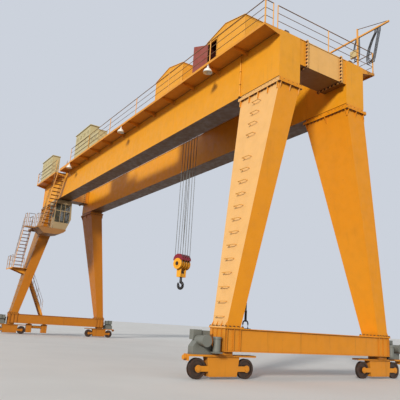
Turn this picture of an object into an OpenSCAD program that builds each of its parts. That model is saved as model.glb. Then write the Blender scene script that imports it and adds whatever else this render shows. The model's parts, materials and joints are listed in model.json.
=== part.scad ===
// Double girder gantry crane on rails, with a winch trolley, a cabin and stairs.
// X runs along the span, Y along the runway rails, Z up.
// The origin is under the middle of the span, level with the lowest points of the wheels.

/* [Whole crane] */
// Length of the girders
span_l = 32000; // [28000:100:36000]
// Height of the girders' undersides
girder_z = 11120; // [10600:20:12400]

/* [Girders] */
// Depth of a girder
girder_h = 2000; // [1600:20:2400]
// Width of a girder between its web faces
girder_w = 1030; // [800:10:1200]
// Distance from the middle of the crane to the middle of a girder
girder_y = 1880; // [1800:10:2200]
// Thickness of the flange plates that stand proud of the webs
plate = 30; // [16:2:50]
// Height of a trolley rail
rail_h = 100; // [60:10:140]

/* [Legs] */
// Width of a leg along the span, at its top
leg_top = 2400; // [1800:20:2800]
// Width of a leg along the span, at its foot
leg_foot = 810; // [600:10:1000]
// Thickness of a leg across the span, at its foot
leg_foot_y = 585; // [450:5:700]
// Distance from the middle of the crane to the outer face of a leg's foot
leg_spread = 4080; // [3900:20:4300]
// Distance from the end of the girders to a leg's foot
foot_in = 370; // [250:10:500]

/* [Ends] */
// Height of a sill beam
sill_h = 745; // [600:5:900]
// Height of a sill beam's underside
sill_z = 885; // [885:5:1000]
// Length of a sill beam
sill_l = 8300; // [8100:20:8700]
// Wheel diameter over the flanges
wheel_d = 650; // [560:10:680]
// Distance between the two wheels of a bogie
wheel_gap = 1930; // [1900:10:2100]

/* [Walkways] */
// Clear width of a walkway
walk_w = 790; // [700:10:900]
// Height of the handrails
rail_up = 1050; // [900:50:1200]
// Spacing of the handrail posts
post_gap = 2000; // [1200:50:2400]

/* [Trolley] */
// Where the hoist stands along the span
trolley_x = 5570; // [-9000:10:6200]
// Length of a winch house along the span
house_l = 3100; // [2700:20:3300]
// Height of a winch house's eaves above its floor
house_h = 1930; // [1900:10:2200]
// Height of the hook's lowest point
hook_z = 3440; // [2500:10:6000]
// Turn of the hook block about its ropes, in degrees
block_turn = 16; // [-30:1:30]

/* [Cabin and stairs] */
// Height of the cabin
cabin_h = 2420; // [2300:20:2700]
// Width of the stair flights
stair_w = 650; // [500:10:650]

/* [Hidden] */
$fn = 32;
yellow = [0.93, 0.62, 0.16];
peach = [0.88, 0.6, 0.27];
iron = [0.4, 0.4, 0.39];
L = span_l / 2;
gi = girder_y - girder_w / 2;
go = girder_y + girder_w / 2;
lip = 25;
top = girder_z + girder_h;
leg_z = girder_z - 250;
sill_t = sill_z + sill_h;
foot_z = sill_t + 40;
fx1 = L - foot_in;
fx0 = fx1 - leg_foot;
fx = (fx0 + fx1) / 2;
fy1 = leg_spread;
fy0 = leg_spread - leg_foot_y;
bogie_y = sill_l / 2 - 220;
wheel_r = wheel_d / 2;
walk_y = go + lip + walk_w;
rail_top = top + rail_h;
deck_z = rail_top + 400;
house_mid = [trolley_x + 450, trolley_x + 5960];
cabin_x0 = -L + 3200;
cabin_x1 = cabin_x0 + 1600;
cabin_y0 = -2600;
door_y = [cabin_y0 + 100, cabin_y0 + 800];
roof_z = girder_z - 100;
cabin_z = roof_z - cabin_h;
land_z = 10 * round(0.1 * (sill_t + 0.541 * (cabin_z - sill_t)));
gap_x0 = -L + 5560;
gap_x1 = gap_x0 + 3500;
clear = 0.4;
rope_x = 250 + 13 + clear;

// Where a leg's outer face and its face towards the span stand at height z.
function leg_t(z) = (z - foot_z) / (leg_z - foot_z);
function leg_out(z) = fy1 + (go - fy1) * leg_t(z);
function leg_in_x(z) = fx0 + (L - leg_top - fx0) * leg_t(z);

// A box between two corners.
module box(x0, x1, y0, y1, z0, z1) {
  translate([x0, y0, z0]) cube([x1 - x0, y1 - y0, z1 - z0]);
}

// Copies of the children at both sides of the plane X = 0.
module both_x() {
  children();
  mirror([1, 0, 0]) children();
}

// Copies of the children at both sides of the plane Y = 0.
module both_y() {
  children();
  mirror([0, 1, 0]) children();
}

// A straight bar between two points.
module bar(a, b, d, n = 8) {
  v = b - a;
  len = norm(v);
  translate(a) rotate([0, acos(v[2] / len), atan2(v[1], v[0])]) cylinder(d = d, h = len, $fn = n);
}

// A shape drawn in X and Z, as thick as the run from y0 to y1.
module slab_y(y0, y1, pts) {
  translate([0, y1, 0]) rotate([90, 0, 0]) linear_extrude(y1 - y0) polygon(pts);
}

// A shape drawn in Y and Z, as thick as the run from x0 to x1.
module slab_x(x0, x1, pts) {
  translate([x0, 0, 0]) rotate([90, 0, 90]) linear_extrude(x1 - x0) polygon(pts);
}

// One box girder: webs, proud flange plates, end plates and the straps of the leg joints.
module girder() {
  box(-L + 20, L - 20, gi, go, girder_z + plate, top - plate);
  box(-L + 20, L - 20, gi - lip, go + lip, girder_z, girder_z + plate);
  box(-L + 20, L - 20, gi - lip, go + lip, top - plate, top);
  both_x() {
    box(L - 20, L, gi - lip, go + lip, girder_z, top);
    box(L - leg_top - 30, L - leg_top + 30, gi - 10, go + 10, girder_z + plate, top - plate);
  }
}

module girder_front() {
  color(yellow) mirror([0, 1, 0]) girder();
}

module girder_rear() {
  color(yellow) girder();
}

// The trolley's running rails, with a stop block at each end.
module trolley_rails() {
  color([0.35, 0.3, 0.27]) both_y() translate([0, girder_y, 0]) {
    box(-L + 300, L - 300, -60, 60, top, top + 15);
    box(-L + 300, L - 300, -18, 18, top + 15, top + rail_h - 30);
    box(-L + 300, L - 300, -35, 35, top + rail_h - 30, top + rail_h);
    both_x() {
      slab_y(-90, 90, [[L - 290, top], [L - 120, top], [L - 120, top + 60],
        [L - 200, top + 250], [L - 290, top + 250]]);
      translate([L - 290, 0, top + 200]) rotate([0, -90, 0]) cylinder(d = 80, h = 50);
    }
  }
}

// Box beams that tie the girders together at both ends, under a deck plate: bolted flanges join
// the middle length to a stub at each side.
module tie_beams() {
  color(peach) both_x() {
    box(L - 1250, L - 20, -960, 960, top - 1140, top - 30);
    box(L - 1320, L, -gi + lip, gi - lip, top - 30, top);
    both_y() {
      box(L - 1250, L - 20, 1020, gi - lip, top - 1140, top - 30);
      box(L - 1320, L, 960, 990, top - 1210, top - 30);
      box(L - 1320, L, 990, 1020, top - 1210, top - 30);
    }
  }
}

// One tapered leg: foot flange, leaning shaft, head flanges and the gussets under them.
module leg() {
  intersection() {
    slab_y(0, fy1 + 100, [[fx0, foot_z], [fx1, foot_z], [L, leg_z], [L - leg_top, leg_z]]);
    slab_x(0, L + 10, [[fy0, foot_z], [fy1, foot_z], [go, leg_z], [gi, leg_z]]);
  }
  box(fx0 - 70, fx1 + 70, fy0 - 90, fy1 + 90, sill_t, foot_z);
  box(L - leg_top - 90, L + 90, gi - 90, go + 90, leg_z, leg_z + 55);
  box(L - leg_top - 90, L + 90, gi - 90, go + 90, leg_z + 60, leg_z + 115);
  box(L - leg_top, L, gi, go, leg_z + 50, girder_z);
  for (t = [0.02, 0.5, 0.98]) {
    x = L - leg_top * (1 - t);
    slab_x(x - 12, x + 12, [[go - 60, leg_z - 280], [go + 110, leg_z - 280],
      [go + 90, leg_z], [go - 60, leg_z]]);
    slab_x(x - 12, x + 12, [[gi + 60, leg_z], [gi - 90, leg_z],
      [gi + 40, leg_z - 280], [gi + 100, leg_z - 280]]);
  }
  for (t = [0.04, 0.96]) {
    y = gi + t * girder_w;
    slab_y(y - 12, y + 12, [[L - 80, leg_z - 280], [L - 11, leg_z - 280], [L + 90, leg_z], [L - 80, leg_z]]);
  }
  for (t = [0.02, 0.34, 0.66, 0.98]) {
    x = fx0 + leg_foot * t;
    slab_x(x - 10, x + 10, [[fy1 - 60, foot_z], [fy1 + 80, foot_z],
      [fy1 - 35, foot_z + 190], [fy1 - 60, foot_z + 190]]);
  }
}

module legs_near() {
  color(yellow) both_y() leg();
}

module legs_far() {
  color(yellow) mirror([1, 0, 0]) both_y() leg();
}

// The sill beams under the feet, with stiffeners below each leg and ribbed end plates.
module sill_beams() {
  hw = leg_foot / 2;
  color(yellow) both_x() {
    box(fx - hw, fx + hw, -sill_l / 2 + 20, sill_l / 2 - 20, sill_z, sill_t - 25);
    box(fx - hw - 60, fx + hw + 60, -sill_l / 2 + 20, sill_l / 2 - 20, sill_t - 25, sill_t);
    box(fx - hw - 30, fx + hw + 30, -sill_l / 2 + 20, sill_l / 2 - 20, sill_z, sill_z + 25);
    both_y() {
      box(fx - hw - 30, fx + hw + 30, sill_l / 2 - 20, sill_l / 2, sill_z, sill_t);
      box(fx - hw - 60, fx + hw + 60, sill_l / 2 - 20, sill_l / 2 + 40, sill_t - 25, sill_t);
      for (x = [-0.62, 0, 0.62]) translate([fx + x * hw, sill_l / 2, 0]) {
        box(-8, 8, 0, 35, sill_z, sill_t - 25);
      }
      for (y = [fy0 + 20, (fy0 + fy1) / 2, fy1 - 20]) {
        for (s = [-1, 1]) {
          translate([fx + s * hw, y, 0]) box(-50, 50, -8, 8, sill_z + 20, sill_t - 20);
        }
      }
    }
  }
}

// One bogie: head plate, middle block, cheek arms with axles, and a buffer at its outer end.
module bogie() {
  hw = wheel_gap / 2;
  translate([fx, bogie_y, 0]) {
    box(-260, 260, -255, 255, 760, sill_z);
    box(-190, 190, -hw - 340, hw + 380, 700, 760);
    slab_x(-110, 110, [[-590, 701], [590, 701], [530, 80], [-530, 80]]);
    for (s = [-1, 1]) translate([s * 122, 0, 0]) {
      slab_x(-13, 13, [[-640, 701], [640, 701], [560, 80], [-560, 80]]);
      box(-13, 13, -hw, hw, wheel_r - 85, wheel_r + 85);
      for (y = [-hw, hw]) translate([0, y, wheel_r]) rotate([0, 90, 0]) {
        cylinder(d = 230, h = 26, center = true);
        translate([0, 0, s * 20]) cylinder(d = 150, h = 30, center = true);
      }
    }
    for (y = [-hw, hw]) translate([0, y, wheel_r]) rotate([0, 90, 0]) {
      cylinder(d = 90, h = 260, center = true);
    }
    box(-150, 150, hw + 380, hw + 410, 560, 760);
    translate([0, hw + 410, 660]) rotate([-90, 0, 0]) cylinder(d = 150, h = 110);
  }
}

module bogies() {
  color(yellow) both_x() both_y() bogie();
}

// Travel drives on the bogies' decks beyond the ends of the sill beams: a gear case with
// sloped ends, a level motor, an upright brake motor on a side bracket and two switch boxes.
module travel_drives() {
  y0 = sill_l / 2 + 60;
  y1 = bogie_y + wheel_gap / 2 + 260;
  color(iron) both_x() both_y() translate([fx, 0, 760]) {
    slab_x(-150, 150, [[y0 + 190, 0], [y1, 0], [y1, 240], [y1 - 150, 440],
      [y0 + 360, 440], [y0 + 190, 250]]);
    translate([-40, y1 - 300, 430]) rotate([0, 90, 0]) {
      cylinder(d = 330, h = 460);
      translate([0, 0, 460]) cylinder(d = 370, h = 70);
    }
    box(-150, 470, y0 + 20, y0 + 300, 60, 100);
    translate([325, y0 + 160, 100]) {
      cylinder(d = 250, h = 410);
      translate([0, 0, 410]) cylinder(d = 290, h = 60);
    }
    box(-260, -10, y0 + 220, y0 + 480, 440, 740);
    box(-300, -60, y1 - 440, y1 - 120, 440, 760);
  }
}

// Rail clamp between the far sill beam's bogies: two jaw housings and their motor.
module rail_clamp() {
  jaws = [1550 - bogie_y, 2840 - bogie_y];
  color(yellow) translate([-fx, 0, 0]) {
    for (y = jaws) box(-170, 170, y - 220, y + 220, 160, sill_z - 40);
    for (y = jaws) box(-110, 110, y - 110, y + 110, sill_z - 40, sill_z);
    translate([0, jaws[0] + 219, 620]) rotate([-90, 0, 0]) cylinder(d = 230, h = 852);
  }
}

// One double flanged rail wheel on its axle.
module wheel(end, side, k) {
  color([0.25, 0.22, 0.2]) translate([end * fx, side * (bogie_y + k * wheel_gap / 2), wheel_r]) {
    rotate([0, 90, 0]) difference() {
      union() {
        cylinder(d = wheel_d - 50, h = 130, center = true, $fn = 64);
        for (s = [-1, 1]) translate([0, 0, s * 55]) cylinder(d = wheel_d, h = 20, center = true, $fn = 64);
        cylinder(d = 210, h = 170, center = true);
      }
      cylinder(d = 90.16, h = 400, center = true);
      for (s = [-1, 1]) translate([0, 0, s * 60]) difference() {
        cylinder(d = wheel_d - 150, h = 40, center = true);
        cylinder(d = 240, h = 50, center = true);
      }
    }
  }
}

module wheel_front_near_outer() { wheel(1, -1, 1); }
module wheel_front_near_inner() { wheel(1, -1, -1); }
module wheel_rear_near_inner() { wheel(1, 1, -1); }
module wheel_rear_near_outer() { wheel(1, 1, 1); }
module wheel_front_far_outer() { wheel(-1, -1, 1); }
module wheel_front_far_inner() { wheel(-1, -1, -1); }
module wheel_rear_far_inner() { wheel(-1, 1, -1); }
module wheel_rear_far_outer() { wheel(-1, 1, 1); }

// One step iron, standing off the leaning face of a front leg at height z.
module step_iron(z) {
  x = fx + (L - leg_top / 2 - fx) * leg_t(z);
  y = -leg_out(z - 12) - 0.4;
  for (s = [-1, 1]) box(x + s * 200 - 11, x + s * 200 + 11, y - 150, y, z - 11, z + 11);
  box(x - 211, x + 211, y - 150, y - 128, z - 11, z + 11);
}

// Step irons up the outer faces of the two front legs. One of the near leg's is missing.
module step_irons() {
  n = 18;
  pitch = (leg_z - foot_z - 280) / n;
  color(yellow) {
    for (i = [0:n - 1]) if (i != 13) step_iron(foot_z + (i + 0.65) * pitch);
    mirror([1, 0, 0]) for (i = [0:5]) step_iron(foot_z + (i + 0.65) * pitch);
  }
}

// One length of walkway beside a girder: deck, edge plate, toe board and knee brackets.
module walkway(x0, x1) {
  y0 = go + lip;
  y1 = walk_y;
  box(x0, x1, y0, y1 - 8, top - 26, top - 20);
  box(x0, x1, y1 - 8, y1, top - 110, top + 10);
  n = max(1, round((x1 - x0) / post_gap));
  for (i = [0:n]) {
    x = x0 + 12 + i * (x1 - x0 - 24) / n;
    slab_x(x - 6, x + 6, [[y0, top - 260], [y0, top - 26], [y1 - 8, top - 26], [y1 - 8, top - 100]]);
  }
}

module walkway_front() {
  color(peach) mirror([0, 1, 0]) {
    walkway(-L, gap_x0);
    walkway(gap_x1, L);
  }
}

module walkway_rear() {
  color(peach) walkway(-L, L);
}

// A straight handrail between two feet: posts, two middle rails and a top rail.
module fence(a, b, n) {
  for (i = [0:n]) {
    p = a + (b - a) * i / n;
    bar(p, p + [0, 0, rail_up], 46);
  }
  for (h = [0.34, 0.67, 1]) {
    bar(a + [0, 0, h * rail_up], b + [0, 0, h * rail_up], h == 1 ? 40 : 26);
  }
}

module railing_front() {
  y = -walk_y + 36;
  color(yellow) {
    fence([-L + 40, y, top - 20], [gap_x0 - 40, y, top - 20], round((gap_x0 + L) / post_gap));
    fence([gap_x1 + 40, y, top - 20], [L - 40, y, top - 20], round((L - gap_x1) / post_gap));
  }
}

module railing_rear() {
  y = walk_y - 36;
  color(yellow) fence([-L + 40, y, top - 20], [L - 40, y, top - 20], round(2 * L / post_gap));
}

// Handrails across both ends of the crane, standing on the girders and the end decks.
module railing_ends() {
  x = L - 40;
  y1 = walk_y - 36 - 23 - clear;
  color(yellow) both_x() {
    for (y = [-go, -170, go - 350]) bar([x, y, top], [x, y, top + rail_up - 20], 46);
    for (h = [0.34, 0.67, 1]) {
      bar([x, -y1, top - 20 + h * rail_up], [x, y1, top - 20 + h * rail_up], h == 1 ? 40 : 26);
    }
  }
}

// Bell lamps that hang under the edge plate of the front walkway.
module lamps() {
  x = [L - 3920, L - 13350, gap_x1 + 30];
  color([0.92, 0.92, 0.9]) for (i = [0:2]) translate([x[i], -walk_y + 12, top - 110]) {
    rotate_extrude() polygon([[0, 0], [16, 0], [16, -190], [52, -190], [60, -290], [130, -350],
      [205, -440], [240, -560], [232, -560], [196, -446], [124, -360], [50, -304], [44, -204], [0, -204]]);
  }
}

// Electrical houses and a low cabinet on the front walkway, and the festoon's terminal box.
module electrical_cabinets() {
  y0 = -walk_y + 75;
  y1 = -go - lip - 90;
  color([0.82, 0.78, 0.66]) {
    for (x = [-L + 940, gap_x1 + 770]) {
      box(x, x + 3000, y0, y1, top - 20, top + 1820);
      box(x - 70, x + 3070, y0 - 60, y1 + 20, top + 1820, top + 1870);
    }
    translate([gap_x1 + 3890, 0, 0]) {
      box(0, 1600, y0, y1, top - 20, top + 960);
      box(-30, 1630, y0 - 10, y1 + 25, top + 960, top + 985);
    }
    box(L - 530, L - 190, go - 165, go - 62, top + 620, top + 950);
  }
}

// The cabin's outline from its side: upright back, glazed front that leans out and turns in below.
function cabin_outline(d) = [[cabin_y0 + d, cabin_z + d], [-1530 - d * 0.7, cabin_z + d],
  [-1180 - d * 1.05, cabin_z + 920], [-1270 - d, roof_z - d], [cabin_y0 + d, roof_z - d]];

// Cabin body with its door and window openings, roof plate and hangers.
module cabin_shell() {
  t = 50;
  z = cabin_z;
  win_top = cabin_h - 300;
  color([0.32, 0.27, 0.22]) difference() {
    union() {
      slab_x(cabin_x0, cabin_x1, cabin_outline(0));
      box(cabin_x0 - 60, cabin_x1 + 60, cabin_y0, -1210, roof_z, roof_z + 30);
      for (x = [cabin_x0 + 60, cabin_x1 - 160]) {
        for (y = [-2300, -1500]) box(x, x + 100, y, y + 100, roof_z + 30, girder_z);
      }
    }
    slab_x(cabin_x0 + t, cabin_x1 - t, cabin_outline(t));
    for (y = [[-2540, -2150], [-2110, -1790], [-1750, -1340]]) {
      box(cabin_x1 - t - 10, cabin_x1 + 10, y[0], y[1], z + 1560, z + win_top);
      box(cabin_x1 - t - 10, cabin_x1 + 10, y[0], y[1], z + 560, z + 1500);
    }
    for (x = [[60, 780], [820, 1540]]) {
      box(cabin_x0 + x[0], cabin_x0 + x[1], -1500, -1000, z + 1560, z + win_top);
      box(cabin_x0 + x[0], cabin_x0 + x[1], -1500, -1000, z + 960, z + 1500);
      box(cabin_x0 + x[0], cabin_x0 + x[1], -1700, -1000, z + 100, z + 880);
      box(cabin_x0 + x[0], cabin_x0 + x[1], cabin_y0 - 10, cabin_y0 + t + 10, z + 960, z + 1500);
      box(cabin_x0 + x[0], cabin_x0 + x[1], cabin_y0 - 10, cabin_y0 + t + 10, z + 1560, z + win_top);
    }
    box(cabin_x0 - 10, cabin_x0 + t + 10, door_y[0], door_y[1], z + t, z + 1950);
    box(cabin_x0 - 10, cabin_x0 + t + 10, door_y[1] + 60, door_y[1] + 400, z + 1000, z + 1950);
  }
}

// Window panes, set in the middle of the wall's thickness.
module cabin_glass() {
  z = cabin_z;
  win_top = cabin_h - 300;
  e = 0.5;
  color([0.3, 0.34, 0.33, 0.5]) {
    for (y = [[-2540, -2150], [-2110, -1790], [-1750, -1340]]) {
      box(cabin_x1 - 30, cabin_x1 - 22, y[0] + e, y[1] - e, z + 1560 + e, z + win_top - e);
      box(cabin_x1 - 30, cabin_x1 - 22, y[0] + e, y[1] - e, z + 560 + e, z + 1500 - e);
    }
    for (x = [[60, 780], [820, 1540]]) {
      for (h = [[960, 1500], [1560, win_top]]) {
        box(cabin_x0 + x[0] + e, cabin_x0 + x[1] - e, cabin_y0 + 22, cabin_y0 + 30, z + h[0] + e, z + h[1] - e);
        k = 90 / (roof_z - z - 920);
        y0 = -1180 - (h[0] + e - 920) * k;
        y1 = -1180 - (h[1] - e - 920) * k;
        slab_x(cabin_x0 + x[0] + e, cabin_x0 + x[1] - e,
          [[y0 - 34, z + h[0] + e], [y0 - 26, z + h[0] + e], [y1 - 26, z + h[1] - e], [y1 - 34, z + h[1] - e]]);
      }
      k = 350 / 920;
      slab_x(cabin_x0 + x[0] + e, cabin_x0 + x[1] - e,
        [[-1530 + 100.5 * k - 34, z + 100 + e], [-1530 + 100.5 * k - 25, z + 100 + e],
         [-1530 + 879.5 * k - 25, z + 880 - e], [-1530 + 879.5 * k - 34, z + 880 - e]]);
    }
    box(cabin_x0 + 22, cabin_x0 + 30, door_y[1] + 60 + e, door_y[1] + 400 - e, z + 1000 + e, z + 1950 - e);
  }
}

// The cabin's door, shut in its opening, with a pane in its upper half.
module cabin_door() {
  z = cabin_z;
  e = clear;
  color([0.5, 0.5, 0.46]) difference() {
    box(cabin_x0 + 5, cabin_x0 + 45, door_y[0] + e, door_y[1] - e, z + 50 + e, z + 1950 - e);
    box(cabin_x0, cabin_x0 + 18, door_y[0] + 100, door_y[1] - 100, z + 1000, z + 1800);
    box(cabin_x0 + 30, cabin_x0 + 60, door_y[0] + 100, door_y[1] - 100, z + 1000, z + 1800);
  }
}

// The cabin's belly from its side, thinned by t: it sags under the platform and rises to the front.
function belly(t) = concat([[-3860 + 2 * t, cabin_z - 30]],
  [for (a = [0:15:90]) [-2620 + (1080 - 1.4 * t) * cos(a), cabin_z - 30 - (450 - t) * sin(a)]],
  [[-3300 + t, cabin_z - 480 + t]]);

// Platform that carries the cabin and meets the stairs, with edge plates, bearers and the belly.
module cabin_platform() {
  z = cabin_z;
  x0 = clear - leg_in_x(z);
  x1 = cabin_x1 + 40;
  y0 = -3885;
  y1 = -1520;
  color(peach) {
    box(x0, x1, y0, y1, z - 30, z);
    box(x0, x1, y0, y0 + 8, z - 110, z - 30);
    box(x1 - 8, x1, y0, y1, z - 110, z - 30);
    box(x0, x1, y1 - 8, y1, z - 110, z - 30);
    for (i = [0:3]) box(x0 + i * 860, x0 + i * 860 + 60, y0 + 8, y1 - 8, z - 110, z - 30);
    difference() {
      slab_x(cabin_x0 - 40, x1, belly(0));
      slab_x(cabin_x0 - 50, x1 - 8, belly(8));
    }
    translate([-L + 3300, 0, 0]) {
      box(0, 800, -4600, y0, z - 30, z);
      box(0, 800, -4600, -4592, z - 110, z - 30);
      box(792, 800, -4592, y0, z - 110, z - 30);
    }
  }
}

// A flight of steps from the origin, climbing along X: two stringers and the treads between.
module flight(run, rise, n) {
  k = rise / run;
  c = 190;
  for (y = [0, stair_w - 10]) {
    slab_y(y, y + 10, [[0, 0], [c, 0], [run, rise - c * k], [run, rise], [run - 40, rise], [0, 40 * k]]);
  }
  for (i = [1:n - 1]) {
    x = i * run / n;
    box(x - 60, x + 150, 10, stair_w - 10, i * rise / n - 30, i * rise / n - 24);
    box(x + 142, x + 150, 10, stair_w - 10, i * rise / n - 60, i * rise / n - 30);
    box(x - 60, x - 52, 10, stair_w - 10, i * rise / n - 60, i * rise / n - 30);
  }
}

// Handrails along both sides of a flight, with posts that stand on its stringers.
module flight_rails(run, rise, n) {
  k = rise / run;
  for (y = [-5, stair_w + 5]) {
    for (i = [0:n]) {
      x = 130 + i * (run - 260) / n;
      bar([x, y, (x + 53) * k + clear], [x, y, x * k + 974], 30);
    }
    for (h = [530, 980]) bar([100, y, 100 * k + h], [run - 100, y, (run - 100) * k + h], 26);
  }
}

// Places the children at the foot of each flight, turned to climb the right way.
module at_lower() {
  translate([-L - 560, -1150, sill_t]) rotate([0, 0, -90]) children();
}

module at_middle() {
  translate([-L + 1500, -4560, land_z]) children();
}

module at_upper() {
  translate([-L + 3300, -3285, cabin_z]) children();
}

module stair_lower() {
  color(yellow) at_lower() flight(1800, land_z - sill_t, 14);
}

module stair_middle() {
  color(yellow) at_middle() flight(1800, cabin_z - land_z, 12);
}

module stair_upper() {
  color(yellow) at_upper() flight(3400, top - 20 - cabin_z, 17);
}

// Landings: at the foot, half way, and at the head, where a deep edge plate runs round it.
module stair_landings() {
  y = -leg_out(land_z - 30) - clear;
  color(peach) translate([-L, 0, 0]) {
    box(-620, foot_in - 60, -1350, -350, sill_t - 30, sill_t);
    box(foot_in - 68, foot_in - 60, -1350, -350, sill_t - 200, sill_t - 30);
    box(-620, 150, -4620, -2950, land_z - 30, land_z);
    box(150, 1700, -4620, y, land_z - 30, land_z);
    box(-620, 1700, -4620, -4612, land_z - 110, land_z - 30);
    for (x = [500, 1300]) {
      y2 = -leg_out(land_z - 480) - clear;
      slab_x(x, x + 10, [[-4612, land_z - 110], [-4612, land_z - 30], [y, land_z - 30], [y2, land_z - 480]]);
    }
    box(6700, 9060, -walk_y, -go - lip, top - 60, top - 20);
    box(6700, 9060, -walk_y, -walk_y + 12, top - 230, top - 60);
    box(6700, 6712, -walk_y + 12, -go - lip, top - 230, top - 60);
  }
}

module stair_railings() {
  color(yellow) {
    at_lower() flight_rails(1800, land_z - sill_t, 3);
    at_middle() flight_rails(1800, cabin_z - land_z, 3);
    at_upper() flight_rails(3400, top - 20 - cabin_z, 4);
    translate([-L, 0, 0]) {
      fence([-580, -4590, land_z], [1240, -4590, land_z], 2);
      fence([-580, -4430, land_z], [-580, -3200, land_z], 1);
      fence([3440, -4570, cabin_z], [4060, -4570, cabin_z], 1);
      fence([4070, -4440, cabin_z], [4070, -3940, cabin_z], 1);
      fence([4200, -3850, cabin_z], [4800, -3850, cabin_z], 1);
      fence([4805, -3750, cabin_z], [4805, -2800, cabin_z], 1);
      fence([2150, -3850, cabin_z], [3040, -3850, cabin_z], 1);
    }
  }
}

// Trolley frame: side beams on eight wheels, cross beams, and a deck with rope slots.
module trolley_frame() {
  x0 = house_mid[0] - house_l / 2 - 120;
  x1 = house_mid[1] + house_l / 2 + 120;
  color(peach) {
    both_y() {
      box(x0, x1, girder_y - 110, girder_y - 70, rail_top + 60, rail_top + 385);
      box(x0, x1, girder_y + 70, girder_y + 110, rail_top + 60, rail_top + 385);
      box(x0, x1, girder_y - 110, girder_y + 110, rail_top + 360, rail_top + 385);
      for (x = [x0 + 450, x0 + 2450, x1 - 2450, x1 - 450]) translate([x, girder_y, rail_top + 175.5]) {
        rotate([90, 0, 0]) cylinder(d = 350, h = 80, center = true);
        rotate([90, 0, 0]) cylinder(d = 90, h = 240, center = true);
      }
    }
    for (x = [x0, house_mid[0] - 1150, house_mid[0] + 1100, house_mid[1] - 1200, x1 - 200]) {
      box(x, x + 200, 110 - girder_y, girder_y - 110, rail_top + 120, rail_top + 385);
    }
    difference() {
      box(x0, x1, -1990, 1990, rail_top + 385, deck_z);
      for (s = [-1, 1]) {
        box(trolley_x + s * rope_x - 45, trolley_x + s * rope_x + 45, -480, 480, rail_top + 300, deck_z + 10);
      }
    }
  }
}

// Hoisting gear on the trolley: drums between bearing stands, gearboxes and motors.
module winch_gear() {
  color(iron) for (x = [trolley_x, house_mid[1]]) translate([x, 0, deck_z]) {
    for (s = [-1, 1]) slab_y(s * 760 - 30, s * 760 + 30, [[-260, 0], [260, 0], [110, 600], [-110, 600]]);
    translate([0, 0, 480]) rotate([90, 0, 0]) cylinder(d = 500, h = 1440, center = true);
    translate([0, 0, 480]) rotate([90, 0, 0]) cylinder(d = 120, h = 1560, center = true);
    for (s = [-1, 1]) translate([0, s * 700, 480]) rotate([90, 0, 0]) cylinder(d = 570, h = 40, center = true);
    box(-240, 900, 790, 1150, 0, 640);
    translate([700, 790, 400]) rotate([90, 0, 0]) cylinder(d = 380, h = 900);
    box(520, 880, -80, 760, 0, 215);
  }
}

// One winch house: thin walls and a gable roof along Y, doorway in the front gable if it has one.
module house(x, door) {
  h = house_l / 2;
  z1 = deck_z + house_h;
  rise = 330;
  t = 40;
  y = 1990;
  difference() {
    union() {
      slab_y(-y, y, [[x - h, deck_z], [x + h, deck_z], [x + h, z1], [x, z1 + rise], [x - h, z1]]);
      slab_y(-y - 30, y + 30, [[x - h - 30, z1 - 8], [x, z1 + rise], [x + h + 30, z1 - 8],
        [x + h + 30, z1 + 16], [x, z1 + rise + 24], [x - h - 30, z1 + 16]]);
    }
    slab_y(t - y, y - t, [[x - h + t, deck_z - 1], [x + h - t, deck_z - 1], [x + h - t, z1 - 30],
      [x, z1 + rise - t], [x - h + t, z1 - 30]]);
    if (door) box(x - h + 90, x - h + 860, -y - 10, t - y + 10, deck_z + 50, deck_z + 1780);
    for (s = [-1, 1]) box(x - 300, x + 300, s * y - 60, s * y + 60, z1 - 380, z1 - 80);
  }
  for (s = [-1, 1]) for (i = [0:4]) {
    box(x - 301, x + 301, s * (y - 20) - 14, s * (y - 20) + 14, z1 - 360 + i * 60, z1 - 345 + i * 60);
  }
}

module winch_houses() {
  color(yellow) {
    house(house_mid[0], false);
    house(house_mid[1], true);
  }
}

// The second winch house's door, standing open on its hinges.
module winch_house_door() {
  x = house_mid[1] - house_l / 2 + 90;
  color([0.55, 0.3, 0.25]) translate([x - 6, -1990 - 12 - clear, deck_z + 55]) rotate([0, 0, -144]) {
    box(0, 760, 0, 34, 0, 1720);
    for (z = [200, 1450]) translate([0, 0, z]) cylinder(d = 24, h = 130);
  }
}

// Eight falls of rope from the drum to the hook block, turned with the block.
module ropes() {
  z0 = hook_z + 1390;
  z1 = deck_z + 480;
  color([0.5, 0.5, 0.48]) for (s = [-1, 1]) for (y = [-340, -150, 150, 340]) {
    c = cos(block_turn);
    n = sin(block_turn);
    bar([trolley_x + s * rope_x * c - y * n, s * rope_x * n + y * c, z0], [trolley_x + s * rope_x, y, z1], 26);
  }
}

// Places the children in the hook block's frame, at the height of the sheaves' axle.
module at_block(z) {
  translate([trolley_x, 0, hook_z + z]) rotate([0, 0, block_turn]) children();
}

// Hook block: sheaves on one axle, round end cheeks, hanger plates and the crosshead.
module hook_block() {
  color([0.85, 0.55, 0.15]) at_block(1390) {
    for (y = [-340, -150, 150, 340]) translate([0, y, 0]) rotate([90, 0, 0]) {
      cylinder(d = 500, h = 70, center = true);
      for (s = [-1, 1]) translate([0, 0, s * 36]) cylinder(d = 590, h = 12, center = true);
    }
    rotate([90, 0, 0]) cylinder(d = 130, h = 960, center = true);
    for (s = [-1, 1]) {
      translate([0, s * 430, 0]) rotate([90, 0, 0]) cylinder(d = 640, h = 36, center = true);
      translate([0, s * 245, 0]) {
        rotate([90, 0, 0]) cylinder(d = 320, h = 44, center = true);
        slab_y(-22, 22, [[-160, 0], [160, 0], [120, -700], [-120, -700]]);
      }
      for (a = [45, 90, 135, 225, 270, 315]) {
        translate([290 * cos(a), s * 430, 290 * sin(a)]) rotate([90, 0, 0]) {
          cylinder(d = 40, h = 60, center = true);
        }
      }
    }
    difference() {
      box(-115, 115, -224, 224, -710, -520);
      translate([0, 0, -720]) cylinder(d = 101, h = 300);
    }
  }
}

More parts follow.
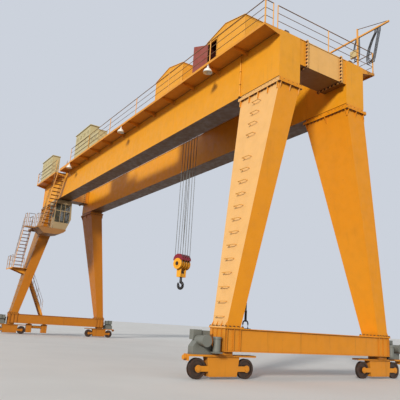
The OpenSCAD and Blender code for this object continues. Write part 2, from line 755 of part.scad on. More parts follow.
// Guard bent over the tops of the sheaves, slotted for the rope falls, on two inner plates.
module block_guard() {
  r = 356;
  up = 190;
  color([0.45, 0.12, 0.12]) at_block(1390) {
    difference() {
      translate([0, 0, up]) rotate([90, 0, 0]) difference() {
        cylinder(r = r, h = 900, center = true);
        cylinder(r = r - 8, h = 910, center = true);
        translate([0, -r, 0]) cube([3 * r, 2 * r, 920], center = true);
      }
      for (s = [-1, 1]) for (y = [-340, -150, 150, 340]) {
        box(s * rope_x - 45, s * rope_x + 45, y - 32, y + 32, up + 150, up + 330);
      }
    }
    for (s = [-1, 1]) translate([0, s * 218, 0]) {
      slab_y(-5, 5, [[-150, 65.3], [150, 65.3], [200, up], [200, up + 286], [-200, up + 286], [-200, up]]);
    }
  }
}

// Single hook: bowl, tapering tip, neck, threaded shank and the nut on the crosshead.
module hook() {
  r = 170;
  d = 112;
  c = r + d / 2;
  nut_z = 1390 - 520 + clear;
  color([0.08, 0.08, 0.08]) at_block(0) {
    translate([0, 0, c]) rotate([90, 0, 0]) rotate([0, 0, 180]) rotate_extrude(angle = 270) {
      translate([r, 0]) circle(d = d);
    }
    translate([-r, 0, c]) cylinder(d1 = d, d2 = 70, h = 120);
    translate([-r, 0, c + 120]) sphere(d = 70);
    translate([0, 0, c + r - 14]) cylinder(d = 124, h = 190);
    translate([0, 0, c + r + 150]) cylinder(d = 100, h = nut_z - c - r - 130);
    translate([0, 0, nut_z]) cylinder(d = 190, h = 70, $fn = 6);
  }
}

// The festoon's channel track beside the trolley, on posts, run out past the near end.
module festoon_track() {
  y = go - 90;
  z = top + 1580;
  n = 10;
  color(yellow) {
    difference() {
      box(-L + 400, L + 1460, y + 30, y + 90, z - 35, z + 35);
      box(-L + 390, L + 1470, y + 38, y + 82, z - 40, z + 27);
    }
    for (i = [0:n]) {
      x = -L + 500 + i * (2 * L - 660) / n;
      box(x - 30, x + 30, y - 30, y + 30, top, i == n ? top + 1980 : z + 35);
    }
    bar([L - 160, y, top + 1960], [L + 1400, y + 60, z + 45], 30);
  }
}

// A cable through a run of points, round at the bends.
module cable(pts, d) {
  for (i = [1:len(pts) - 1]) bar(pts[i - 1], pts[i], d);
  for (i = [1:len(pts) - 2]) translate(pts[i]) sphere(d = d + 2, $fn = 16);
}

// The supply cables, gathered in two bundles of loops under the run-out end of the track.
// The wind has blown the outer bundle over to one side.
module festoon_cables() {
  y = go - 30;
  z = top + 1607 - clear;
  d = 36;
  gap = 60;
  color([0.12, 0.12, 0.12]) {
    for (i = [0:2]) translate([L, y, z]) cable(concat(
      [for (p = [[860, 0], [860, -60], [840, -230], [640, -520], [480, -850], [390, -1180], [385, -1380],
        [440, -1470]]) [p[0] - i * gap, 0, p[1] - (p[1] < -1400 ? i * gap : 0)]],
      [for (p = [[540, -1470], [610, -1370], [690, -1050], [800, -600], [895, -230], [905, -60],
        [905, 0]]) [p[0] + i * gap, 0, p[1] - (p[1] < -1400 ? i * gap : 0)]]), d);
    for (i = [0:1]) translate([L, y, z]) cable(concat(
      [for (p = [[-215, 0], [-215, -60], [-330, -330], [-380, -600], [-370, -900],
        [-320, -1080]]) [p[0] - i * gap, 0, p[1] - (p[1] < -1000 ? i * gap : 0)]],
      [for (p = [[-230, -1080], [-175, -950], [-150, -600], [-165, -60],
        [-165, 0]]) [p[0] + i * gap, 0, p[1] - (p[1] < -1000 ? i * gap : 0)]]), d);
  }
}

girder_front();
girder_rear();
trolley_rails();
tie_beams();
legs_near();
legs_far();
sill_beams();
bogies();
travel_drives();
rail_clamp();
wheel_front_near_outer();
wheel_front_near_inner();
wheel_rear_near_inner();
wheel_rear_near_outer();
wheel_front_far_outer();
wheel_front_far_inner();
wheel_rear_far_inner();
wheel_rear_far_outer();
step_irons();
walkway_front();
walkway_rear();
railing_front();
railing_rear();
railing_ends();
lamps();
electrical_cabinets();
cabin_shell();
cabin_glass();
cabin_door();
cabin_platform();
stair_lower();
stair_middle();
stair_upper();
stair_landings();
stair_railings();
trolley_frame();
winch_gear();
winch_houses();
winch_house_door();
ropes();
hook_block();
block_guard();
hook();
festoon_track();
festoon_cables();
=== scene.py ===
# %% [markdown]
# # Dressing a gantry crane
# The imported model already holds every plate, wheel and stair of the crane, in metres.
# This lesson loads it, gives each piece the paint, dirt and wear of a crane that has stood
# outdoors for years, and adds what is too fine for the model: bolts, wall seams, rope
# strands and rail clips. A few new pieces, such as the hook block and the handrails, stand
# in for the model's own, because a closer look at the photograph changed their sizes.

# %% Load the crane
import json
import math

import bmesh
import bpy
from bmesh.types import BMEdge, BMFace, BMVert
from mathutils import Matrix, Vector


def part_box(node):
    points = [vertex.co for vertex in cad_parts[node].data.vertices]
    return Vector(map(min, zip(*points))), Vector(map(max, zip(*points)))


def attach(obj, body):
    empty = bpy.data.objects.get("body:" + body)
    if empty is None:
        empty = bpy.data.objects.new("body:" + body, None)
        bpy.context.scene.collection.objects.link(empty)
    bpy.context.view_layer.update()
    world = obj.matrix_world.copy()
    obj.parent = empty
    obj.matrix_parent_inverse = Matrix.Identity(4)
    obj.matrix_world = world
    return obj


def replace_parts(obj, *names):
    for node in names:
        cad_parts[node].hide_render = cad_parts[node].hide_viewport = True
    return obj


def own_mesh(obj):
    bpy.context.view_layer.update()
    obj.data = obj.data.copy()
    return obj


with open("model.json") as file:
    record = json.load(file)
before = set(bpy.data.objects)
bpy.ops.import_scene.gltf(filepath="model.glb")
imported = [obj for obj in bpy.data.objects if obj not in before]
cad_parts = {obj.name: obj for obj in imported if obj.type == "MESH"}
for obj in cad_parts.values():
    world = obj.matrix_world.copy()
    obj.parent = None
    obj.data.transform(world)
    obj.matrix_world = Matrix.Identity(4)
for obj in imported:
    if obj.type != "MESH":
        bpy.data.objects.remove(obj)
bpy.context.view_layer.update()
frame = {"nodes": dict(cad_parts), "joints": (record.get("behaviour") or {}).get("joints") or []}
nodes = frame["nodes"]

# %% [markdown]
# ## Sizes taken from the model
# A small piece has to land on the plate that carries it. So the main sizes are read from
# the model's own pieces and joints, and many others are worked out from them or given as
# numbers. X runs along the girders, Y along the rails, and Z upwards from the rail heads.
# A girder's flanges stand out past its webs by a lip, the tie beams are bolted to stubs at
# SPLICE_Y, and HOUSES are the middles of the two winch houses.

# %% Sizes of the crane
def edge(node, side, axis):
    """Where a piece of the model ends along an axis: side 0 is its low end, 1 its high end."""
    return round(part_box(node)[side]["XYZ".index(axis)], 3)


LIP = 0.025
HALF = edge("girder_front", 1, "X")
TOP = edge("girder_front", 1, "Z")
UNDER = edge("girder_front", 0, "Z")
WEB_IN = edge("girder_rear", 0, "Y") + LIP
WEB_OUT = edge("girder_rear", 1, "Y") - LIP
SPLICE_Y = 0.99
SILL_TOP = edge("sill_beams", 1, "Z")
DECK = edge("trolley_frame", 1, "Z")

joints = {joint["name"]: joint for joint in frame["joints"]}
swivel = joints["hook_swivel"]["pos_m"]
TROLLEY_X = swivel[0]
SHEAVE_Z = swivel[2] + 0.29
TURN = math.radians(16)
HOUSES = (TROLLEY_X + 0.45, TROLLEY_X + 5.96)
print("girders", 2 * HALF, "m long, with their underside", UNDER, "m above the rails")

# %% [markdown]
# ## The camera
# The photographer stood on the ground beyond the near end of the crane, on the side of the
# cabin, and looked up along the girders. The place and the three angles were found by
# matching the corners of the beams, so they are written here as numbers. The lens follows
# from the focal length, which was measured in pixels of the photograph.

# %% Camera
EYE = Vector((29.1779723, -13.9046065, 1.67263973))
YAW, PITCH, ROLL = -1.01037784, 0.245363765, 0.0632474959
FOCAL_PIXELS = 497.16503
PHOTO_WIDE = 400.0
SENSOR = 36.0

ahead = Vector((math.cos(PITCH) * math.sin(YAW), math.cos(PITCH) * math.cos(YAW), math.sin(PITCH)))
level = Vector((math.cos(YAW), -math.sin(YAW), 0.0))
over = level.cross(ahead)
right = math.cos(ROLL) * level + math.sin(ROLL) * over
up = math.cos(ROLL) * over - math.sin(ROLL) * level

camera = bpy.data.objects.new("camera", bpy.data.cameras.new("camera"))
bpy.context.scene.collection.objects.link(camera)
camera.data.sensor_width = SENSOR
camera.data.lens = FOCAL_PIXELS * SENSOR / PHOTO_WIDE
camera.data.clip_start, camera.data.clip_end = 0.5, 900.0
camera.matrix_world = Matrix((
    (right.x, up.x, -ahead.x, EYE.x),
    (right.y, up.y, -ahead.y, EYE.y),
    (right.z, up.z, -ahead.z, EYE.z),
    (0, 0, 0, 1)))
bpy.context.scene.camera = camera
print("camera lens", round(camera.data.lens, 2), "mm")

# %% [markdown]
# ## Writing materials as sums
# A material is a small drawing made of nodes. Placing them by hand is slow, so one class
# wraps a socket and lets the usual signs add, subtract and multiply it. Each sign adds the
# Math node that it stands for.

# %% A socket that can be used in sums
class Wire:
    """A socket of a material, which the signs +, - and * join to others or to numbers."""

    def __init__(self, sheet, socket):
        self.sheet, self.socket = sheet, socket

    def _math(self, kind, a, b):
        return self.sheet.node("Math", {"operation": kind}, {0: a, 1: b})

    def __add__(self, other):
        return self._math("ADD", self, other)

    __radd__ = __add__

    def __sub__(self, other):
        return self._math("SUBTRACT", self, other)

    def __rsub__(self, other):
        return self._math("SUBTRACT", other, self)

    def __mul__(self, other):
        return self._math("MULTIPLY", self, other)

    __rmul__ = __mul__

    def __abs__(self):
        return self.sheet.node("Math", {"operation": "ABSOLUTE"}, {0: self})

    def out(self, name):
        return Wire(self.sheet, self.socket.node.outputs[name])


print("sums of sockets ready")

# %% [markdown]
# ## A material and its nodes
# A second class holds the material. Its one method makes any node from its kind, its
# settings and what goes into its sockets. The others are short names for what every finish
# needs: a noise, a smooth step between two values, and a blend of two colours.

# %% A material whose nodes come from one method
class Finish:
    """A material under the Principled shader, drawn on the object's own coordinates."""

    def __init__(self, name):
        self.material = bpy.data.materials.new(name)
        self.material.use_nodes = True
        self.tree = self.material.node_tree
        self.shader = self.tree.nodes["Principled BSDF"]
        self.place = self.node("TexCoord", {}, {}).out("Object")
        self.facing = self.node("NewGeometry", {}, {}).out("Normal")

    def feed(self, socket, value):
        """Links a wire to a socket, or writes a plain value in it."""
        if isinstance(value, Wire):
            self.tree.links.new(value.socket, socket)
        else:
            socket.default_value = value

    def node(self, kind, settings, inputs):
        made = self.tree.nodes.new("ShaderNode" + kind)
        for key, value in settings.items():
            setattr(made, key, value)
        for key, value in inputs.items():
            self.feed(made.inputs[key], value)
        return Wire(self, made.outputs[0])

    def axis(self, vector, letter):
        return self.node("SeparateXYZ", {}, {0: vector}).out(letter)

    def noise(self, size, detail=3.0, stretch=(1, 1, 1), rough=0.55):
        place = self.node("Mapping", {}, {"Vector": self.place, "Scale": stretch})
        return self.node("TexNoise", {},
                         {"Vector": place, "Scale": size, "Detail": detail, "Roughness": rough})

    def fit(self, value, low, high, to_low=0.0, to_high=1.0):
        """A smooth step: to_low where the value is low, to_high where it is high."""
        return self.node("MapRange", {"interpolation_type": "SMOOTHSTEP"},
                         {0: value, 1: low, 2: high, 3: to_low, 4: to_high})

    def blend(self, share, one, other):
        """Two colours mixed: the Mix node's colours are its sockets 6 and 7, and 2 comes out."""
        return self.node("Mix", {"data_type": "RGBA"}, {0: share, 6: one, 7: other}).out(2)

    def finish(self, colour, rough, metal=0.0, bump=None, height=0.0):
        for name, value in (("Base Color", colour), ("Roughness", rough), ("Metallic", metal)):
            self.feed(self.shader.inputs[name], value)
        if bump is not None:
            bumped = self.node("Bump", {}, {"Height": bump, "Distance": height, "Strength": 0.6})
            self.feed(self.shader.inputs["Normal"], bumped)
        return self.material


def rgb(red, green, blue):
    """A colour as the photograph shows it, 0 to 255, turned into light values."""
    def light(v):
        v /= 255.0
        return v / 12.92 if v <= 0.04045 else ((v + 0.055) / 1.055) ** 2.4
    return (light(red), light(green), light(blue), 1.0)


print("material tools ready")

# %% [markdown]
# ## Weathered paint
# Paint on outdoor steel fades in broad patches, is streaked by rain that runs down the
# plates and shows rust where it is chipped. Corners are darkened in the dirt colour as
# painted shade. The other marks are noises with their own sizes, and the streaks are the
# same noise stretched upwards. They act only on upright faces. Undersides are browner, as
# painted shade.

# %% Weathered paint
RUST = rgb(118, 60, 32)
DIRT_AND_SHADE = rgb(96, 58, 30)
SHADE = rgb(66, 34, 14)


def weathered(name, colour, faded, dirt_and_shade=DIRT_AND_SHADE, corner_shade=0.35, rust=0.5, streaks=0.2,
              rough=0.5, beneath=0.5, under=SHADE, where=None):
    """Old paint; where gives a mask and its colour, for a part of the piece that differs."""
    made = Finish(name)
    patches = made.fit(made.noise(0.35, 4), 0.35, 0.68)
    base = made.blend(patches * 0.35, colour, faded)
    if where is not None:
        share, other = where(made)
        base = made.blend(share, base, other)
    clouds = made.fit(made.noise(2.3, 5), 0.35, 0.8)
    base = made.blend(clouds * 0.09, base, dirt_and_shade)
    upright = 1 - abs(made.axis(made.facing, "Z"))
    runs = made.fit(made.noise(1.0, 5, stretch=(5.0, 5.0, 0.32), rough=0.6), 0.56, 0.8)
    base = made.blend(runs * upright * streaks, base, dirt_and_shade)
    # painted shade: faces deep in corners, which the occlusion finds hidden, are darkened in the dirt colour
    corner = made.node("AmbientOcclusion", {"samples": 4}, {"Distance": 0.3}).out("AO")
    painted_corner_shade = made.fit(corner, 0.9, 0.35)
    base = made.blend(painted_corner_shade * corner_shade, base, dirt_and_shade)
    chips = made.fit(made.noise(9.0, 6, rough=0.7), 0.67, 0.73)
    base = made.blend(chips * rust, base, RUST)
    # painted shade: faces that look down are blended towards the dark under colour
    down = made.fit(made.axis(made.facing, "Z"), -0.3, -0.9)
    base = made.blend(down * beneath, base, under)
    sheen = made.fit(made.noise(4.0, 3), 0.3, 0.7, rough - 0.08, rough + 0.14)
    grain = made.noise(30.0, 3) + made.noise(0.9, 2) * 3
    return made.finish(base, sheen + chips * 0.2, bump=grain, height=0.0015)


print("weathered paint ready")

# %% [markdown]
# ## Where one piece changes colour
# The photograph shows places where the colour of one piece differs: a painted highlight on
# the near leg's sunlit side, a dull far end, treads and bars that are worn by feet and
# hands, and painted shade inside a winch house. A mask is a number from 0 to 1 that says
# where. Each of these functions returns its mask and the colour there, and tells the place
# from the coordinates or from the way a face looks.

# %% Masks with their colours
HUB = 0.12


def sunlit_side_highlight(made):
    """The near front leg's outer side, painted paler as a painted highlight of the sun on it."""
    outer = made.fit(made.axis(made.facing, "Y"), -0.55, -0.95)
    near = made.fit(made.axis(made.place, "X"), HALF * 0.5, HALF * 0.75)
    front = made.fit(made.axis(made.place, "Y"), -1.0, -1.4)
    return outer * near * front, rgb(246, 190, 116)


def far_end(made):
    """The far end's beam and bogies, duller than the near ones."""
    far = made.fit(made.axis(made.place, "X"), -HALF * 0.25, -HALF * 0.75, 0.0, 0.8)
    return far, rgb(190, 112, 12)


def girder_stub(made):
    """The short stubs between the girders and the bolted flanges have the girders' paint."""
    beside = abs(made.axis(made.place, "Y"))
    return made.fit(beside, SPLICE_Y + 0.029, SPLICE_Y + 0.033), rgb(240, 158, 26)


def darker_outer_side(made):
    """The far legs' outer sides, coloured a darker brown, the front one's most."""
    outer = made.fit(made.axis(made.facing, "Y"), -0.5, -0.9, 0.0, 0.9)
    front = made.fit(made.axis(made.place, "Y"), 1.0, -1.0, 0.15, 1.0)
    return outer * front, rgb(160, 110, 48)


def worn_treads(letter):
    """Treads lie level and their noses face along the flight: both are worn to brown."""
    def where(made):
        flat = made.fit(abs(made.axis(made.facing, "Z")), 0.93, 0.98)
        nose = made.fit(abs(made.axis(made.facing, letter)), 0.93, 0.98)
        return (flat + nose) * 0.85, rgb(126, 66, 22)
    return where


def worn_bars(made):
    """Bars that lie level are worn dark by hands, and the posts keep their paint."""
    lying = made.fit(abs(made.axis(made.facing, "Z")), 0.15, 0.3)
    return lying * made.fit(made.noise(1.6, 3), 0.3, 0.6, 0.8, 1.0), rgb(84, 62, 46)


def painted_interior_shade(made):
    """The faces that look into the second winch house, seen through its doorway, painted dark as painted
    shade inside the room.
    """
    x, y = made.axis(made.place, "X") - HOUSES[1], made.axis(made.place, "Y")
    inward = x * made.axis(made.facing, "X") + y * made.axis(made.facing, "Y")
    return made.fit(inward, 0.0, -0.2) * made.fit(x, -2.0, -1.7), rgb(58, 16, 14)


def greased_hub(made):
    """The block's cheeks are dark with grease round the end of the axle."""
    x, y, z = (made.axis(made.place, letter) for letter in "XYZ")
    across = (x - TROLLEY_X) * math.cos(TURN) + y * math.sin(TURN)
    above = z - SHEAVE_Z
    return made.fit(across * across + above * above, HUB ** 2, (HUB - 0.01) ** 2), rgb(48, 26, 14)


print("masks ready")

# %% [markdown]
# ## Bare steel and rubber
# Rails, wheels, ropes and bolts have no paint. Steel that is rubbed stays bright and the
# rest goes brown, so two colours share the surface in small patches, and the browner one is
# less like metal. The same drawing without metal makes the rubber of the cables.

# %% Bare steel
def steel(name, colour, other, metal=0.6, rough=0.45, size=8.0):
    """Bare metal in two colours, in patches that get smaller as size grows."""
    made = Finish(name)
    patches = made.fit(made.noise(size, 5), 0.35, 0.7)
    base = made.blend(patches * 0.7, colour, other)
    # painted shade: corners and hollows, which the occlusion finds hidden, are darkened to a near-black brown
    corner = made.node("AmbientOcclusion", {"samples": 4}, {"Distance": 0.12}).out("AO")
    base = made.blend(made.fit(corner, 0.9, 0.3) * 0.5, base, rgb(40, 26, 18))
    shine = made.fit(made.noise(size * 2, 3), 0.3, 0.7, rough - 0.1, rough + 0.15)
    return made.finish(base, shine, metal=metal * (1 - patches * 0.5),
                       bump=made.noise(size * 6, 3), height=0.001)


STEEL = {
    "rail": steel("rail_steel", rgb(120, 100, 84), rgb(108, 66, 42)),
    "wheel": steel("wheel_steel", rgb(78, 66, 58), rgb(92, 58, 40)),
    "rope": steel("rope_steel", rgb(112, 112, 108), rgb(84, 82, 76), size=20.0),
    "hook": steel("hook_steel", rgb(34, 32, 32), rgb(52, 44, 40), rough=0.35, metal=0.3),
    "bolt": steel("bolt_steel", rgb(92, 60, 34), rgb(70, 44, 28), size=30.0),
    "cable": steel("cable_rubber", rgb(40, 40, 42), rgb(58, 54, 50), metal=0.0, rough=0.6),
}
print("bare finishes:", len(STEEL))

# %% [markdown]
# ## The crane's paints
# The crane is one yellow, but the light and the dirt of each place change it, so each group
# of pieces has its own tones. They were compared with the photograph one by one.

# %% Paints
PAINT = {
    "girder": weathered("girder_paint", rgb(242, 163, 24), rgb(240, 168, 52), corner_shade=0.3,
                        beneath=0.92, under=rgb(54, 26, 8)),
    "tie": weathered("tie_paint", rgb(244, 186, 104), rgb(240, 190, 124), corner_shade=0.3,
                     beneath=0.8, where=girder_stub),
    "leg": weathered("leg_paint", rgb(242, 154, 12), rgb(238, 160, 36), streaks=0.1,
                     where=sunlit_side_highlight),
    "leg_far": weathered("far_leg_paint", rgb(206, 122, 10), rgb(198, 128, 34), corner_shade=0.45,
                         streaks=0.3, where=darker_outer_side),
    "end": weathered("end_paint", rgb(230, 146, 26), rgb(218, 144, 52), corner_shade=0.5,
                     streaks=0.4, where=far_end),
    "deck": weathered("deck_paint", rgb(236, 158, 42), rgb(218, 148, 60), corner_shade=0.4, rust=0.8,
                      beneath=0.35, under=rgb(110, 56, 18)),
    "rail": weathered("rail_paint", rgb(236, 170, 76), rgb(230, 172, 96), corner_shade=0.2, rust=0.9,
                      beneath=0.1, where=worn_bars),
    "rail_far": weathered("far_rail_paint", rgb(184, 136, 76), rgb(172, 132, 84), corner_shade=0.3,
                          rust=0.9, beneath=0.3, where=worn_bars),
    "stair_x": weathered("stair_paint_x", rgb(232, 156, 44), rgb(220, 150, 60), corner_shade=0.4,
                         where=worn_treads("X")),
    "stair_y": weathered("stair_paint_y", rgb(232, 156, 44), rgb(220, 150, 60), corner_shade=0.4,
                         where=worn_treads("Y")),
    "pan": weathered("pan_paint", rgb(168, 118, 66), rgb(156, 112, 70), corner_shade=0.5, rust=0.8,
                     under=rgb(96, 60, 34)),
    "house": weathered("house_paint", rgb(242, 168, 40), rgb(236, 172, 66), streaks=0.3,
                       where=painted_interior_shade),
    "block": weathered("block_paint", rgb(252, 176, 40), rgb(244, 164, 48), rust=0.4,
                       where=greased_hub),
    "crimson": weathered("guard_paint", rgb(134, 26, 44), rgb(146, 38, 50),
                         dirt_and_shade=rgb(52, 14, 16), rust=0.3, under=rgb(44, 10, 12)),
    "maroon": weathered("door_paint", rgb(128, 42, 24), rgb(140, 56, 36), dirt_and_shade=rgb(60, 30, 24),
                        corner_shade=0.4, under=rgb(50, 24, 20)),
    "beige": weathered("cabinet_paint", rgb(206, 190, 140), rgb(196, 184, 144),
                       dirt_and_shade=rgb(110, 92, 60), corner_shade=0.4, beneath=0.2),
    "cabin": weathered("cabin_paint", rgb(176, 152, 112), rgb(182, 160, 122),
                       dirt_and_shade=rgb(60, 48, 34), corner_shade=0.5, rust=0.3),
    "grey": weathered("drive_paint", rgb(118, 120, 112), rgb(136, 134, 122),
                      dirt_and_shade=rgb(50, 40, 30), corner_shade=0.6, beneath=0.3),
    "lamp": weathered("lamp_enamel", rgb(246, 244, 236), rgb(234, 230, 218),
                      dirt_and_shade=rgb(150, 120, 86), corner_shade=0.3, rust=0.1, beneath=0.1, rough=0.3),
}
print("paints:", len(PAINT))

# %% [markdown]
# ## Glass
# The cabin's panes are dusty. Real glass lets light through, and the dust that lies on it
# hides some of it. So the panes are smooth and partly clear, and where the noise puts dust
# they are paler, rougher and less clear.

# %% Glass
def dusty_glass():
    made = Finish("cabin_glass")
    dust = made.fit(made.noise(3.0, 5), 0.4, 0.8)
    base = made.blend(dust * 0.3, rgb(70, 78, 72), rgb(150, 140, 118))
    made.shader.inputs["IOR"].default_value = 1.45
    made.feed(made.shader.inputs["Alpha"], made.fit(dust, 0.0, 1.0, 0.38, 0.6))
    return made.finish(base, made.fit(dust, 0.0, 1.0, 0.06, 0.3))


GLASS = dusty_glass()
print("glass ready")

# %% [markdown]
# ## Which finish goes where
# The model's nodes keep their shapes. Each one only gets its finish in its material slots.

# %% Dress the model's nodes
LOOK = {
    "girder_front": PAINT["girder"], "girder_rear": PAINT["girder"], "tie_beams": PAINT["tie"],
    "legs_near": PAINT["leg"], "legs_far": PAINT["leg_far"], "sill_beams": PAINT["end"],
    "bogies": PAINT["end"], "rail_clamp": PAINT["end"], "travel_drives": PAINT["grey"],
    "step_irons": PAINT["rail"], "walkway_front": PAINT["deck"], "walkway_rear": PAINT["deck"],
    "cabin_platform": PAINT["pan"], "stair_landings": PAINT["deck"],
    "stair_lower": PAINT["stair_y"], "stair_middle": PAINT["stair_x"],
    "stair_upper": PAINT["stair_x"], "railing_front": PAINT["rail"],
    "railing_rear": PAINT["rail"], "railing_ends": PAINT["rail"],
    "stair_railings": PAINT["rail_far"], "lamps": PAINT["lamp"],
    "electrical_cabinets": PAINT["beige"], "cabin_shell": PAINT["cabin"],
    "cabin_door": PAINT["cabin"], "cabin_glass": GLASS, "trolley_frame": PAINT["girder"],
    "winch_gear": PAINT["grey"], "winch_houses": PAINT["house"],
    "winch_house_door": PAINT["maroon"], "ropes": STEEL["rope"], "hook_block": PAINT["block"],
    "block_guard": PAINT["crimson"], "hook": STEEL["hook"], "trolley_rails": STEEL["rail"],
    "festoon_track": PAINT["rail"], "festoon_cables": STEEL["cable"],
}
for name, piece in nodes.items():
    look = STEEL["wheel"] if name.startswith("wheel_") else LOOK[name]
    piece.data.materials.clear()
    piece.data.materials.append(look)
print("dressed nodes:", len(nodes))

# %% [markdown]
# ## New pieces
# Each new piece is one mesh made of many small shapes. A shape is built once at the origin,
# then stamped wherever it is wanted, which is how a hundred bolts stay alike. The finished
# piece is told which body of the model carries it, so that it moves with the crane.

# %% Stamp shapes and make a piece of them
def stamp(onto, shape, places):
    """Adds a copy of shape to onto at each place, which is a matrix or a point."""
    pattern = bpy.data.meshes.new("pattern")
    shape.to_mesh(pattern)
    for place in places:
        copy = pattern.copy()
        copy.transform(place if isinstance(place, Matrix) else Matrix.Translation(place))
        onto.from_mesh(copy)
        bpy.data.meshes.remove(copy)
    bpy.data.meshes.remove(pattern)
    return onto


def pointing(at, towards):
    """A place whose Z axis points towards a direction."""
    return Matrix.Translation(at) @ Vector(towards).to_track_quat("Z", "Y").to_matrix().to_4x4()


def new_piece(name, shape, body, look, smooth=False):
    mesh = bpy.data.meshes.new(name)
    shape.to_mesh(mesh)
    shape.free()
    mesh.polygons.foreach_set("use_smooth", [smooth] * len(mesh.polygons))
    mesh.materials.append(look)
    piece = bpy.data.objects.new(name, mesh)
    bpy.context.scene.collection.objects.link(piece)
    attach(piece, body)
    print(name, "has", len(mesh.polygons), "faces")
    return piece


print("stamp and new_piece ready")

# %% [markdown]
# ## Wire ropes
# A hoist rope is six strands twisted round a core. Its cross-section is a ring with six
# lobes. The Screw modifier turns that ring as it climbs, and the twist appears. The falls
# leave the drum straight and reach the hook block turned with it, so they cross the air
# at a slant.

# %% Wire ropes
ROPE_R, LAY, STRANDS = 0.016, 0.24, 6
DRUM_Z = DECK + 0.48
DRUM_X = 0.2664
FALL_X = 0.2864
SHEAVE_Y = (-0.285, -0.095, 0.095, 0.285)


def twisted(length):
    """A rope that stands on the origin: a ring of lobes, turned as it climbs."""
    ring = bmesh.new()
    bmesh.ops.create_circle(ring, segments=2 * STRANDS, radius=ROPE_R)
    inner = [v for i, v in enumerate(ring.verts) if i % 2]
    bmesh.ops.scale(ring, verts=inner, vec=(0.8, 0.8, 1.0))
    mesh = bpy.data.meshes.new("strands")
    ring.to_mesh(mesh)
    ring.free()
    strand = bpy.data.objects.new("strands", mesh)
    bpy.context.scene.collection.objects.link(strand)
    screw = strand.modifiers.new("twist", "SCREW")
    screw.angle = 2 * math.pi * length / LAY
    screw.screw_offset = length
    screw.steps = screw.render_steps = int(length / LAY * 6)
    screw.use_normal_calculate = True
    made = bpy.data.meshes.new_from_object(strand.evaluated_get(bpy.context.evaluated_depsgraph_get()))
    bpy.data.objects.remove(strand)
    shape = bmesh.new()
    shape.from_mesh(made)
    bmesh.ops.remove_doubles(shape, verts=shape.verts, dist=0.0001)
    bmesh.ops.holes_fill(shape, edges=[e for e in shape.edges if e.is_boundary], sides=0)
    bmesh.ops.recalc_face_normals(shape, faces=shape.faces)
    return shape


fall = twisted(DRUM_Z - SHEAVE_Z)
falls = bmesh.new()
for side in (-1, 1):
    for y in SHEAVE_Y:
        low = Vector((TROLLEY_X + side * FALL_X * math.cos(TURN) - y * math.sin(TURN),
                      side * FALL_X * math.sin(TURN) + y * math.cos(TURN), SHEAVE_Z))
        high = Vector((TROLLEY_X + side * DRUM_X, y, DRUM_Z))
        stamp(falls, fall, [pointing(low, high - low)])
fall.free()
rope_piece = new_piece("rope_falls", falls, "trolley", STEEL["rope"], smooth=True)
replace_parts(rope_piece, "ropes")
(DRUM_Z - SHEAVE_Z - 6.6) / (DRUM_Z - SHEAVE_Z)
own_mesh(rope_piece)

# %% [markdown]
# ## Bolts
# The legs hang on the girders by flanges full of bolts, their feet are bolted to the sill
# beams, and the tie beams to stubs on the girders. The heads show as rows of dots. One head
# is a six-sided cone on a washer, with its top edges broken by a bevel, and it is stamped
# along the edges of each flange.

# %% Bolts on the legs and beams
LEG_HEAD = UNDER - 0.25
LEG_WIDE = 2.4
HEAD_FLANGE = 0.115
FOOT_X = (14.82, 15.63)
FOOT_Y = (3.495, 4.08)
FOOT_TOP = SILL_TOP + 0.04
SPLICE_X, SPLICE_LOW = HALF - 1.285, TOP - 1.175


def broken(shape, edges, width):
    """Breaks sharp edges with a narrow bevel."""
    bmesh.ops.bevel(shape, geom=edges, offset=width, affect="EDGES", segments=1, profile=0.5, material=-1)


def hex_head(across, depth):
    """A six-sided bolt head on a round washer, its top edges broken."""
    shape = bmesh.new()
    bmesh.ops.create_cone(shape, cap_ends=True, segments=6, radius1=across / 2, radius2=across / 2,
                          depth=depth, matrix=Matrix.Translation((0, 0, depth / 2)))
    broken(shape, [e for e in shape.edges if all(v.co.z > depth * 0.9 for v in e.verts)], depth * 0.2)
    bmesh.ops.create_cone(shape, cap_ends=True, segments=10, radius1=across * 0.72, radius2=across * 0.72,
                          depth=depth * 0.25, matrix=Matrix.Translation((0, 0, depth * 0.125)))
    return shape


def steps(start, stop, gap):
    """Evenly spaced values from start to stop, about gap apart."""
    count = max(1, round(abs(stop - start) / gap))
    return [start + (stop - start) * i / count for i in range(count + 1)]


def round_edge(xs, ys, gap_x, gap_y):
    """Points round a rectangle between two values of X and two of Y."""
    return ([(x, y) for x in steps(*xs, gap_x) for y in ys]
            + [(x, y) for y in steps(*ys, gap_y)[1:-1] for x in xs])


leg_x, leg_y = (HALF - LEG_WIDE - 0.045, HALF + 0.045), (WEB_IN - 0.045, WEB_OUT + 0.045)
ribs = [HALF - LEG_WIDE * (1 - share) for share in (0.02, 0.5, 0.98)]
leg_ring = [(x, y) for x, y in round_edge(leg_x, leg_y, 0.21, 0.21)
            if y not in leg_y or min(abs(x - rib) for rib in ribs) > 0.05]
foot_ring = round_edge((FOOT_X[0] - 0.035, FOOT_X[1] + 0.035),
                       (FOOT_Y[0] - 0.05, FOOT_Y[1] + 0.05), 0.176, 0.17)
splice = [(x, SPLICE_LOW) for x in steps(SPLICE_X, HALF - 0.04, 0.2)]
splice += [(SPLICE_X, z) for z in steps(SPLICE_LOW, TOP - 0.1, 0.18)[1:]]
outer_row = [(HALF + 0.042, z) for z in steps(TOP - 1.15, TOP - 0.05, 0.155)]

